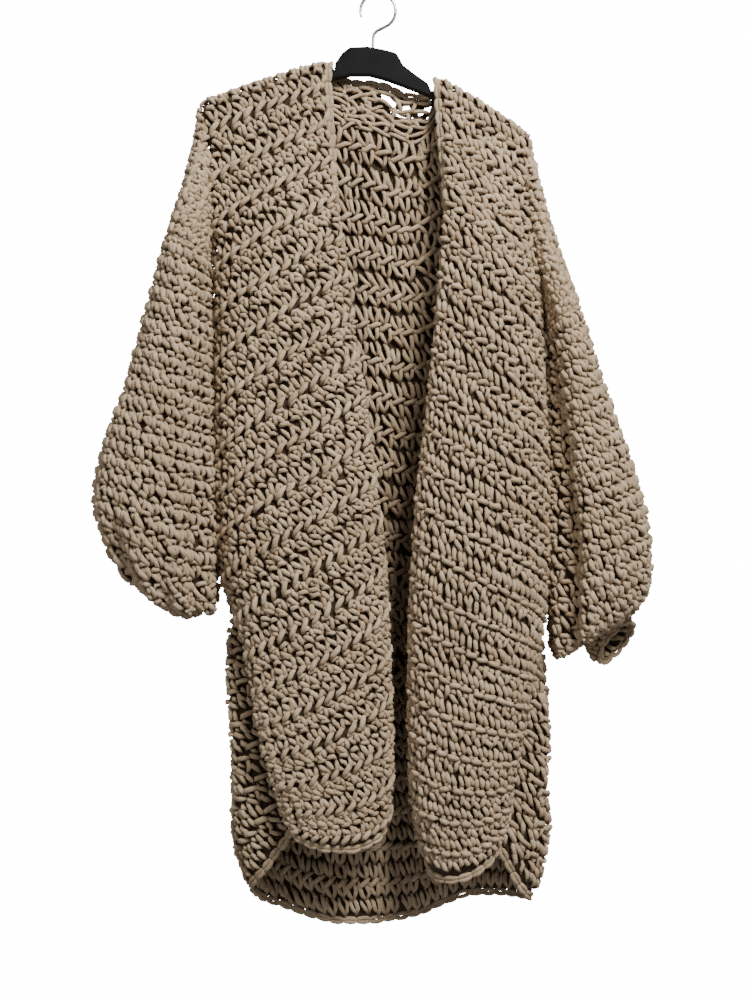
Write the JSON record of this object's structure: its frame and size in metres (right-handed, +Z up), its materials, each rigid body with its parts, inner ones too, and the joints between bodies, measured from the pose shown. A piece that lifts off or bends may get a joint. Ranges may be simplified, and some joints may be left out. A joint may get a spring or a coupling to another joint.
{
  "type": "long open crocheted cardigan on a hanger",
  "caption": "Long open-front crocheted cardigan with dropped shoulders, balloon sleeves, gathered cuffs, side slits and a longer rounded back, hanging on a slim moulded hanger.",
  "frame": {"origin": "inside top of the hanger's hook, where the rod carries it", "axes": "+Z up, +X to the viewer's right seen from the front, -Y out of the garment's front"},
  "size_m": [0.6904, 0.1687, 1.1763],
  "materials": {
    "yarn": "soft plush taupe yarn, matt",
    "hanger_plastic": "satin black",
    "hook_steel": "bright drawn wire"
  },
  "bodies": {
    "root": {"back": "yarn", "band_neck": "yarn", "band_back_hem": "yarn", "front_left": "yarn", "band_front_left": "yarn", "front_right": "yarn", "band_front_right": "yarn", "sleeve_left": "yarn", "cuff_left": "yarn", "sleeve_right": "yarn", "cuff_right": "yarn", "hanger_body": "hanger_plastic", "hanger_hook": "hook_steel"}
  },
  "joints": []
}
